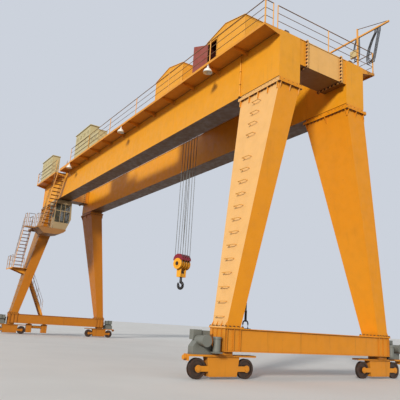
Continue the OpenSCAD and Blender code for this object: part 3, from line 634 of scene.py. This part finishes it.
head = hex_head(0.07, 0.034)
bolts = bmesh.new()
for sx in (-1, 1):
    for sy in (-1, 1):
        for z, way in ((LEG_HEAD, -1), (LEG_HEAD + HEAD_FLANGE, 1)):
            stamp(bolts, head, [pointing((sx * x, sy * y, z), (0, 0, way)) for x, y in leg_ring])
        stamp(bolts, head, [pointing((sx * x, sy * y, FOOT_TOP), (0, 0, 1)) for x, y in foot_ring])
        for row, depth in ((splice, 0.03), (outer_row, 0.028)):
            for way in (sy, -sy):
                y = sy * SPLICE_Y + way * depth
                stamp(bolts, head, [pointing((sx * x, y, z), (0, way, 0)) for x, z in row])
head.free()
new_piece("flange_bolts", bolts, "gantry", STEEL["bolt"])

# %% [markdown]
# ## The storm tie
# A rod hangs from a lug on the near front leg and ends in a shackle that stands on the sill
# beam. Both are round bars. A bar is a disc that is extruded from one point to the next and
# turned as it goes. The plates at its ends are boxes with broken edges.

# %% Storm tie
TIE = Vector((15.2, -2.97, SILL_TOP))
BOW = 0.11


def only(kind, made):
    """The vertices, the edges or the faces among what an operator has made."""
    return [part for part in made["geom"] if isinstance(part, kind)]


def tube(points, radius, sides=12):
    """A round bar along a line of points; radius is one number or one for each point."""
    points = [Vector(p) for p in points]
    radii = radius if isinstance(radius, list) else [radius] * len(points)
    ends = [points[0]] + points + [points[-1]]
    rings = [pointing(here, after - before) @ Matrix.Diagonal((r, r, 1, 1))
             for before, here, after, r in zip(ends, points, ends[2:], radii)]
    shape = bmesh.new()
    bmesh.ops.create_circle(shape, cap_ends=True, segments=sides, radius=1.0, matrix=rings[0])
    cap = shape.edges[:] + shape.faces[:]
    for here, after in zip(rings, rings[1:]):
        made = bmesh.ops.extrude_face_region(shape, geom=cap)
        cap = only((BMEdge, BMFace), made)
        bmesh.ops.transform(shape, matrix=after @ here.inverted(), verts=only(BMVert, made))
    bmesh.ops.recalc_face_normals(shape, faces=shape.faces)
    return shape


def block(low, high, bevel):
    """A box between two corners, with its edges broken by a small bevel."""
    low, high = Vector(low), Vector(high)
    shape = bmesh.new()
    bmesh.ops.create_cube(shape, size=1.0)
    bmesh.ops.scale(shape, verts=shape.verts, vec=high - low)
    bmesh.ops.translate(shape, verts=shape.verts, vec=(low + high) / 2)
    broken(shape, shape.edges[:], bevel)
    return shape


def add(onto, shape):
    """Adds a shape to another one where it is, and frees it."""
    stamp(onto, shape, [(0, 0, 0)])
    shape.free()


def from_tie(x, y, z):
    return TIE + Vector((x, y, z))


half_turn = [math.pi * k / 12 for k in range(13)]
bend = [from_tie(0, BOW * math.cos(a), 0.17 + BOW * math.sin(a)) for a in half_turn]
drop = Vector((0, 0, 0.15))
tie = tube([bend[0] - drop] + bend + [bend[-1] - drop], 0.024)
add(tie, tube([from_tie(0, 0, 0.24), from_tie(0, 0, 2.42)], 0.027))
add(tie, tube([from_tie(0, 0, 0.24), from_tie(0, 0, 0.62)], 0.042))
add(tie, block(from_tie(-0.1, -0.17, 0.0), from_tie(0.1, 0.17, 0.02), 0.004))
add(tie, block(from_tie(-0.015, -0.06, 2.2), from_tie(0.015, 0.05, 2.46), 0.004))
new_piece("storm_tie", tie, "gantry", STEEL["cable"])

# %% [markdown]
# ## Gussets
# Under the leg heads' flanges, thin plates stand between the model's own gussets and carry
# the bolts' load into the leg. Such a plate is a polygon that is extruded along its normal.

# %% Gussets under the leg heads
def plate(points, normal):
    """A flat plate: a polygon moved along its normal to give it thickness."""
    shape = bmesh.new()
    face = shape.faces.new([shape.verts.new(p) for p in points])
    made = bmesh.ops.extrude_face_region(shape, geom=[face])
    bmesh.ops.translate(shape, vec=normal, verts=only(BMVert, made))
    bmesh.ops.recalc_face_normals(shape, faces=shape.faces)
    return shape


GUSSET = 0.02
low, high = LEG_HEAD - 0.28, LEG_HEAD - 0.002
gussets = bmesh.new()
for sx in (-1, 1):
    for sy in (-1, 1):
        for share in (0.26, 0.74):
            x = sx * (HALF - LEG_WIDE * (1 - share))
            flank = [(x, sy * (WEB_OUT + out), z)
                     for out, z in ((-0.06, low), (0.11, low), (0.09, high), (-0.06, high))]
            add(gussets, plate(flank, Vector((GUSSET, 0, 0))))
        y = sy * (WEB_IN + WEB_OUT) / 2
        end = [(sx * (HALF + out), y, z)
               for out, z in ((-0.08, low), (-0.011, low), (0.09, high), (-0.08, high))]
        add(gussets, plate(end, Vector((0, GUSSET, 0))))
new_piece("head_gussets", gussets, "gantry", PAINT["leg"])

# %% [markdown]
# ## Edges of the tie beams' flanges
# The two bolted flanges of each tie beam stand out past the ends of the girders. They are
# narrow upright bars, one pair on each side, and they carry the outer row of bolts.

# %% Flange edges of the tie beams
flanges = bmesh.new()
for sx in (-1, 1):
    xs = sorted((sx * (HALF - 0.01), sx * (HALF + 0.085)))
    for sy in (-1, 1):
        for y in (sy * SPLICE_Y - 0.015, sy * SPLICE_Y + 0.015):
            add(flanges, block((xs[0], y - 0.013, TOP - 1.21), (xs[1], y + 0.013, TOP + 0.04), 0.003))
new_piece("splice_edges", flanges, "gantry", PAINT["tie"])

# %% [markdown]
# ## Conduit
# A pipe with a cable in it runs down the front girder's web from the walkway to a small
# box. It is a bar with two saddles across it, in the girder's own paint.

# %% Conduit on the front girder
PIPE_X, PIPE_Y = 13.5, -WEB_OUT
conduit = tube([(PIPE_X, PIPE_Y - 0.028, UNDER + 0.04), (PIPE_X, PIPE_Y - 0.028, TOP - 0.06)], 0.026)
add(conduit, block((PIPE_X - 0.07, PIPE_Y - 0.075, UNDER + 0.01),
                   (PIPE_X + 0.07, PIPE_Y + 0.01, UNDER + 0.18), 0.008))
for z in (UNDER + 0.58, UNDER + 1.18):
    add(conduit, block((PIPE_X - 0.05, PIPE_Y - 0.06, z), (PIPE_X + 0.05, PIPE_Y + 0.004, z + 0.03), 0.004))
new_piece("web_conduit", conduit, "gantry", PAINT["girder"])

# %% [markdown]
# ## Rail clips
# The trolley's rails lie on the girders and are held by pairs of clips, each with one bolt.
# There are more than a hundred, so a clip has only a few faces.

# %% Rail clips
RAIL_MIDDLE = (WEB_IN + WEB_OUT) / 2
CLIP_HIGH = 0.018
clip = block((-0.04, -0.035, 0), (0.04, 0.035, CLIP_HIGH), 0.004)
stamp(clip, hex_head(0.032, 0.016), [(0, 0, CLIP_HIGH)])
clips = bmesh.new()
stamp(clips, clip, [(x, sy * RAIL_MIDDLE + side * 0.098, TOP)
                    for x in steps(0.4 - HALF, HALF - 0.4, 0.8) for sy in (-1, 1) for side in (-1, 1)])
clip.free()
new_piece("rail_clips", clips, "gantry", STEEL["rail"])

# %% [markdown]
# ## The winch houses' walls
# The houses are clad with sheets that meet in level seams, with angles at the corners and
# a trim round the door. Thin strips that stand a few millimetres proud give those lines.

# %% Seams and corner angles of the winch houses
HOUSE_LONG = 3.1
WALL = 1.99
EAVE = DECK + 1.93
DOOR_X = (HOUSES[1] - 1.46, HOUSES[1] - 0.69)
DOOR_TOP = DECK + 1.83
TRIM = 0.045


def strip(start, end, half):
    """A thin strip from one point to another, with half its width on each side of them."""
    return block(Vector(start) - Vector(half), Vector(end) + Vector(half), 0.004)


trim = bmesh.new()
for middle in HOUSES:
    xa, xb = middle - HOUSE_LONG / 2, middle + HOUSE_LONG / 2
    for z in (DECK + 0.04, EAVE - 0.06):
        for sy in (-1, 1):
            meets_door = middle == HOUSES[1] and sy < 0 and z < DOOR_TOP
            start = DOOR_X[1] + 0.05 if meets_door else xa
            add(trim, strip((start, sy * WALL, z), (xb, sy * WALL, z), (0, 0.01, 0.02)))
        for x in (xa, xb):
            add(trim, strip((x, -WALL, z), (x, WALL, z), (0.01, 0, 0.02)))
    for x in (xa, xb):
        for y in (-WALL, WALL):
            add(trim, strip((x, y, DECK), (x, y, EAVE - 0.01), (0.014, 0.014, 0)))
for x, wide, low in ((DOOR_X[0] - TRIM, TRIM, DECK + 0.05), (DOOR_X[1], TRIM, DECK + 0.05),
                     (DOOR_X[0] - TRIM, DOOR_X[1] - DOOR_X[0] + 2 * TRIM, DOOR_TOP - TRIM)):
    add(trim, block((x, -WALL - 0.018, low), (x + wide, -WALL + 0.005, DOOR_TOP), 0.004))
new_piece("house_trim", trim, "trolley", PAINT["house"])

# %% [markdown]
# ## Shapes for the hook block
# The hook block is turned and bored work: discs across an axle, rings, and a crosshead with
# a round hole. A disc is a low cone with equal ends. A bored piece is a ring of faces
# between its outline and its hole, which is then extruded.

# %% Discs and bored pieces
ALONG_Y = Matrix.Rotation(math.radians(90), 4, "X")


def around(count, start=0.0):
    """The angles of count even steps round a circle."""
    return [2 * math.pi * (k + start) / count for k in range(count)]


def disc(radius, thick, sides=40, bevel=0.0):
    """A round plate that lies across the Y axis."""
    shape = bmesh.new()
    bmesh.ops.create_cone(shape, cap_ends=True, segments=sides, radius1=radius, radius2=radius,
                          depth=thick, matrix=ALONG_Y)
    if bevel:
        broken(shape, [e for e in shape.edges if abs(e.verts[0].co.y - e.verts[1].co.y) < 1e-5], bevel)
    return shape


def bored(outline, bore, low, high):
    """A prism with a round hole along Z, from its outline's points."""
    hole = [(bore * math.cos(a), bore * math.sin(a)) for a in (math.atan2(y, x) for x, y in outline)]
    shape = bmesh.new()
    rims = []
    for points in (outline, hole):
        rim = [shape.verts.new((x, y, low)) for x, y in points]
        rims += [shape.edges.new(pair) for pair in zip(rim, rim[1:] + rim[:1])]
    ring = bmesh.ops.bridge_loops(shape, edges=rims)["faces"]
    made = bmesh.ops.extrude_face_region(shape, geom=ring)
    bmesh.ops.translate(shape, vec=(0, 0, high - low), verts=only(BMVert, made))
    bmesh.ops.recalc_face_normals(shape, faces=shape.faces)
    return shape


def round_rectangle(half_x, half_y):
    """Points round a rectangle at even angles from its middle, corners included."""
    corners = [math.atan2(sy * half_y, sx * half_x) % (2 * math.pi) for sx in (-1, 1) for sy in (-1, 1)]
    points = []
    for a in sorted(around(32, 0.5) + corners):
        reach = min(half_x / max(abs(math.cos(a)), 1e-9), half_y / max(abs(math.sin(a)), 1e-9))
        points.append((reach * math.cos(a), reach * math.sin(a)))
    return points


print("discs and bored pieces ready")

# %% [markdown]
# ## Hook block
# Four sheaves turn on one axle between round cheeks, which tie bolts join. Two tapered
# hangers go down to the crosshead that carries the hook. All of it is built round the
# sheaves' axle, and then set under the trolley and turned as the block hangs.

# %% Sheaves, cheeks, hangers and crosshead
AT_BLOCK = Matrix.Translation((TROLLEY_X, 0, SHEAVE_Z)) @ Matrix.Rotation(TURN, 4, "Z")
YOKE_Y = 0.19
CHEEK_Y = 0.365
BOLT_CIRCLE = 0.268
HANGER = 0.044

frame_shape = bmesh.new()
for y in SHEAVE_Y:
    stamp(frame_shape, disc(0.27, 0.07), [(0, y, 0)])
    stamp(frame_shape, disc(0.306, 0.012, bevel=0.003), [(0, y - 0.036, 0), (0, y + 0.036, 0)])
add(frame_shape, disc(0.065, 2 * CHEEK_Y + 0.052))
circle = [(0.17 * math.cos(a), 0.17 * math.sin(a)) for a in around(32)]
for s in (-1, 1):
    stamp(frame_shape, disc(0.3, 0.036, bevel=0.008), [(0, s * CHEEK_Y, 0)])
    stamp(frame_shape, bored(circle, 0.115, -0.009, 0.009),
          [Matrix.Translation((0, s * (CHEEK_Y + 0.026), 0)) @ ALONG_Y])
    stamp(frame_shape, disc(0.095, 0.014, sides=6, bevel=0.003), [(0, s * (CHEEK_Y + 0.024), 0)])
    stamp(frame_shape, disc(0.02, 0.06, sides=6, bevel=0.003),
          [(BOLT_CIRCLE * math.cos(a), s * CHEEK_Y, BOLT_CIRCLE * math.sin(a)) for a in around(6)])
    stamp(frame_shape, disc(0.16, HANGER), [(0, s * YOKE_Y, 0)])
    hanger = [(x, s * YOKE_Y - HANGER / 2, z)
              for x, z in ((-0.165, 0), (0.165, 0), (0.15, -0.7), (-0.15, -0.7))]
    add(frame_shape, plate(hanger, Vector((0, HANGER, 0))))
add(frame_shape, bored(round_rectangle(0.125, YOKE_Y + 0.034), 0.0605, -0.71, -0.52))
frame_shape.transform(AT_BLOCK)
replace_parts(new_piece("block_frame", frame_shape, "block", PAINT["block"]), "hook_block")

# %% [markdown]
# ## The block's hood
# A sheet bent over the sheaves keeps the ropes in their grooves. Each fall passes through a
# slot in it. An arc is extruded from one side of the block to the other, with a stop at
# each side of a sheave, and there the faces of the slots are deleted. Solidify then gives
# the sheet its thickness.

# %% Hood with rope slots
HOOD_R, HOOD_UP, HOOD_END = 0.356, 0.19, CHEEK_Y - 0.026
SLOT = (21.4, 47.3)

quarter = [0, 10.7, SLOT[0], 30, 38.6, SLOT[1], 58, 68.7, 79.3]
angles = quarter + [90] + [180 - a for a in reversed(quarter)]
stations = sorted([-HOOD_END, HOOD_END] + [y + d for y in SHEAVE_Y for d in (-0.032, 0.032)])
hood = bmesh.new()
arc = [hood.verts.new((HOOD_R * math.cos(a), stations[0], HOOD_UP + HOOD_R * math.sin(a)))
       for a in map(math.radians, angles)]
hood.faces.new(arc)
line = [hood.edges.get(pair) for pair in zip(arc, arc[1:])]
for number, (here, there) in enumerate(zip(stations, stations[1:])):
    made = bmesh.ops.extrude_edge_only(hood, edges=line)
    rim = only(BMVert, made)
    bmesh.ops.translate(hood, vec=(0, there - here, 0), verts=rim)
    line = [e for e in only(BMEdge, made) if all(v in rim for v in e.verts)]
    if number % 2 == 1:      # over a sheave
        middles = {e.link_faces[0]: (e.verts[0].co + e.verts[1].co) / 2 for e in line}
        tilts = {face: math.degrees(math.atan2(at.z - HOOD_UP, abs(at.x))) for face, at in middles.items()}
        slots = [face for face, tilt in tilts.items() if SLOT[0] < tilt < SLOT[1]]
        bmesh.ops.delete(hood, geom=slots, context="FACES_ONLY")
hood.faces.new(sorted(rim, key=lambda v: v.co.x))
bmesh.ops.delete(hood, geom=[e for e in hood.edges if not e.link_faces], context="EDGES")
bmesh.ops.recalc_face_normals(hood, faces=hood.faces)
bmesh.ops.solidify(hood, geom=hood.faces[:], thickness=0.008)
for s in (-1, 1):
    inner = [(x, s * (YOKE_Y - 0.027) - 0.005, z) for x, z in (
        (-0.15, 0.0653), (0.15, 0.0653), (0.2, HOOD_UP), (0.2, 0.47), (-0.2, 0.47), (-0.2, HOOD_UP))]
    add(hood, plate(inner, Vector((0, 0.01, 0))))
hood.transform(AT_BLOCK)
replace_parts(new_piece("block_hood", hood, "block", PAINT["crimson"]), "block_guard")

# %% [markdown]
# ## The hook
# The hook is a forged bar that is bent round a bowl and tapers to its tip. One bar with a
# radius for each point gives it. Above the bowl, a ball and a cone lead to the neck, and
# the shank passes through the crosshead, with a bearing and a nut on top.

# %% Hook with its shank and nut
HOOK_LOW = -1.39
BOWL_R, BOWL_D = 0.165, 0.15
NECK_R, BEARING_R, NUT_R = 0.06, 0.115, 0.11

bowl = Vector((0, 0, HOOK_LOW + BOWL_R + BOWL_D / 2))
tip, lean = bowl - Vector((BOWL_R, 0, 0)), Vector((-0.242, 0, 0.97))
path = [tip + lean * far for far in (0.163, 0.157, 0.143, 0.125, 0.06)]
radii = [0.012, 0.027, 0.038, 0.042, 0.06]
for a in (math.radians(degrees) for degrees in range(180, 451, 10)):
    path.append(bowl + Vector((BOWL_R * math.cos(a), 0, BOWL_R * math.sin(a))))
    radii.append(BOWL_D / 2)
forging = tube(path, radii, sides=24)
top_z = bowl.z + BOWL_R
bmesh.ops.create_uvsphere(forging, u_segments=24, v_segments=12, radius=BOWL_D / 2,
                          matrix=Matrix.Translation((0, 0, top_z)))
for low, high, r1, r2, sides in ((top_z, top_z + 0.25, BOWL_D / 2, 0.062, 24),
                                 (top_z + 0.2, -0.35, NECK_R, NECK_R, 24),
                                 (-0.5196, -0.4616, BEARING_R, BEARING_R, 24),
                                 (-0.47, -0.37, NUT_R, NUT_R, 6)):
    bmesh.ops.create_cone(forging, cap_ends=True, segments=sides, radius1=r1, radius2=r2,
                          depth=high - low, matrix=Matrix.Translation((0, 0, (low + high) / 2)))
forging.transform(AT_BLOCK)
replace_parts(new_piece("hook_forging", forging, "hook", STEEL["hook"]), "hook")

# %% [markdown]
# ## Handrails
# The posts stand four metres apart in the photograph, with two thin bars and a thicker one
# on top. The front handrail is open where the stairs arrive, and the ends are open where a
# step leads to the girder.

# %% Handrails
RAIL_Y = edge("railing_rear", 1, "Y") - 0.023
RAIL_LOW = edge("railing_rear", 0, "Z")
RAIL_HIGH = 1.05
RAIL_END = HALF - 0.04
STAIR_GAP = (-10.48, -6.9)
STEP_GAP = (-2.755, -2.525)


def fence(onto, start, end, count):
    """A handrail between two places on the walkway, with count spaces between its posts."""
    start, end, top = Vector((*start, RAIL_LOW)), Vector((*end, RAIL_LOW)), Vector((0, 0, RAIL_HIGH))
    for i in range(count + 1):
        foot = start + (end - start) * i / count
        add(onto, tube([foot, foot + top], 0.023))
    for share, r in ((0.34, 0.013), (0.67, 0.013), (1.0, 0.02)):
        add(onto, tube([start + top * share, end + top * share], r))


front, rear, ends = bmesh.new(), bmesh.new(), bmesh.new()
fence(front, (-RAIL_END, -RAIL_Y), (STAIR_GAP[0], -RAIL_Y), 1)
fence(front, (STAIR_GAP[1], -RAIL_Y), (RAIL_END, -RAIL_Y), 6)
fence(rear, (-RAIL_END, RAIL_Y), (RAIL_END, RAIL_Y), 8)
for x in (-RAIL_END, RAIL_END):
    fence(ends, (x, -RAIL_Y + 0.024), (x, STEP_GAP[0]), 1)
    fence(ends, (x, STEP_GAP[1]), (x, RAIL_Y - 0.024), 2)
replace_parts(new_piece("front_handrail", front, "gantry", PAINT["rail"]), "railing_front")
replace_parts(new_piece("rear_handrail", rear, "gantry", PAINT["rail"]), "railing_rear")
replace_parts(new_piece("end_handrails", ends, "gantry", PAINT["rail"]), "railing_ends")

# %% [markdown]
# ## Lamps
# Three bell lamps hang under the front walkway. A bell is round, so half of its outline is
# drawn, down the outside and up the inside, and spun about the upright axis.

# %% Bell lamps
LAMP_X = (12.08, 2.65, -6.88)
LAMP_Y = -3.198
LAMP_TOP = edge("lamps", 1, "Z")


def turned(profile):
    """A round shape turned from its profile about the Z axis."""
    shape = bmesh.new()
    line = [shape.verts.new((r, 0, z)) for r, z in profile]
    edges = [shape.edges.new(pair) for pair in zip(line, line[1:])]
    bmesh.ops.spin(shape, geom=line + edges, axis=(0, 0, 1), cent=(0, 0, 0), angle=2 * math.pi,
                   steps=32, use_merge=True)
    bmesh.ops.remove_doubles(shape, verts=shape.verts, dist=1e-5)
    bmesh.ops.recalc_face_normals(shape, faces=shape.faces)
    return shape


outside = [(0, 0), (0.016, 0), (0.016, -0.09), (0.046, -0.09), (0.054, -0.17), (0.116, -0.222),
           (0.182, -0.3), (0.213, -0.41)]
inside = [(0.205, -0.41), (0.174, -0.306), (0.11, -0.232), (0.044, -0.184), (0.038, -0.104), (0, -0.104)]
lamp_shape = stamp(bmesh.new(), turned(outside + inside), [(x, LAMP_Y, LAMP_TOP) for x in LAMP_X])
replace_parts(new_piece("bell_lamps", lamp_shape, "gantry", PAINT["lamp"], smooth=True), "lamps")

# %% [markdown]
# ## The gables
# Plain sheets close the upper part of the two walls under each winch house's ridge.

# %% Gable sheets
gables = bmesh.new()
for middle in HOUSES:
    for y in (-WALL + 0.005, WALL - 0.005):
        add(gables, block((middle - 0.36, y - 0.006, EAVE - 0.46),
                          (middle + 0.36, y + 0.006, EAVE - 0.02), 0.002))
new_piece("gable_sheets", gables, "trolley", PAINT["house"])

# %% [markdown]
# ## The electrical houses
# Each one has two pairs of doors with hinges and handles, and slots for air. The low cabinet
# has one pair. The two doors of a pair open away from each other, so hinges and handle
# change sides from one door to the next.

# %% Doors of the electrical houses
DOOR_Y = -3.135


def on_door(onto, x, z, half_x, half_z, front, back, bevel):
    """A bevelled box on the doors, which stands out by front and starts at back."""
    add(onto, block((x - half_x, DOOR_Y - front, z - half_z), (x + half_x, DOOR_Y - back, z + half_z), bevel))


doors = bmesh.new()
for left, height, count, wide in ((-15.06, 1.82, 4, 3.0), (-6.17, 1.82, 4, 3.0), (-3.05, 0.96, 2, 1.6)):
    half_leaf = (wide - 0.16) / count / 2
    low, high = TOP + 0.08, TOP + height - 0.1
    for i in range(count):
        x, z = left + 0.08 + (2 * i + 1) * half_leaf, (low + high) / 2
        hinge_side = -1 if i % 2 == 0 else 1
        on_door(doors, x, z, half_leaf - 0.015, (high - low) / 2, 0.012, -0.004, 0.006)
        for hinge_z in (low + 0.15, high - 0.15):
            on_door(doors, x + hinge_side * (half_leaf - 0.03), hinge_z, 0.012, 0.05, 0.024, 0.01, 0.003)
        on_door(doors, x - hinge_side * (half_leaf - 0.06), z, 0.012, 0.08, 0.04, 0.012, 0.004)
        for k in range(6):
            on_door(doors, x, high - 0.191 - k * 0.045, half_leaf - 0.14, 0.009, 0.02, 0.011, 0.003)
new_piece("cabinet_doors", doors, "gantry", PAINT["beige"])

# %% [markdown]
# ## Light
# The day is hazy: a wide soft sun from the front and a pale sky that fills the shadows. The
# sky's own colour is shown only to the camera, to mirrors and through glass, so a bright
# background adds no light.

# %% Sun and sky
SUN_FROM = (0.77, -1.0, 0.42)
SEEN_BY = ("Is Camera Ray", "Is Glossy Ray", "Is Transmission Ray")

world = bpy.data.worlds.new("sky")
bpy.context.scene.world = world
world.use_nodes = True
sky = world.node_tree
shade = sky.nodes["Background"]
shade.inputs["Color"].default_value = (0.86, 0.92, 1.0, 1.0)
shade.inputs["Strength"].default_value = 0.45
seen = sky.nodes.new("ShaderNodeBackground")
seen.inputs["Color"].default_value = rgb(204, 210, 220)
rays = sky.nodes.new("ShaderNodeLightPath")
shown = rays.outputs[SEEN_BY[0]]
for kind in SEEN_BY[1:]:
    either = sky.nodes.new("ShaderNodeMath")
    either.operation = "MAXIMUM"
    sky.links.new(shown, either.inputs[0])
    sky.links.new(rays.outputs[kind], either.inputs[1])
    shown = either.outputs[0]
mixer = sky.nodes.new("ShaderNodeMixShader")
for socket, source in zip(mixer.inputs, (shown, shade.outputs[0], seen.outputs[0])):
    sky.links.new(source, socket)
sky.links.new(mixer.outputs[0], sky.nodes["World Output"].inputs["Surface"])

sun = bpy.data.objects.new("sun", bpy.data.lights.new("sun", "SUN"))
bpy.context.scene.collection.objects.link(sun)
sun.data.energy = 2.9
sun.data.angle = math.radians(9)
sun.data.color = (1.0, 0.97, 0.92)
sun.matrix_world = pointing((0, 0, 0), SUN_FROM)
print("sun from", SUN_FROM, "and a pale sky")

# %% [markdown]
# ## Floor
# The floor is plain and pale where the camera sees it, and it keeps the crane's shadow. To
# the light that bounces off it, it is darker, like bare ground, so that the undersides
# don't glow.

# %% Floor
floor_shape = bmesh.new()
bmesh.ops.create_grid(floor_shape, x_segments=2, y_segments=2, size=400.0,
                      matrix=Matrix.Translation((0, 0, -0.004)))
floor_mesh = bpy.data.meshes.new("floor")
floor_shape.to_mesh(floor_mesh)
floor_shape.free()
floor = bpy.data.objects.new("floor", floor_mesh)
bpy.context.scene.collection.objects.link(floor)
ground = Finish("floor_pale")
watched = ground.node("LightPath", {}, {})
camera_ray, glossy_ray, clear_ray = (watched.out(kind) for kind in SEEN_BY)
plain = ground.blend(ground.fit(ground.noise(0.2, 3), 0.3, 0.7), rgb(232, 229, 224), rgb(226, 223, 218))
bare = ground.blend(camera_ray + glossy_ray + clear_ray, rgb(150, 138, 124), plain)
floor_mesh.materials.append(ground.finish(bare, 0.85))
bpy.context.scene.view_settings.view_transform = "Standard"
print("floor ready")
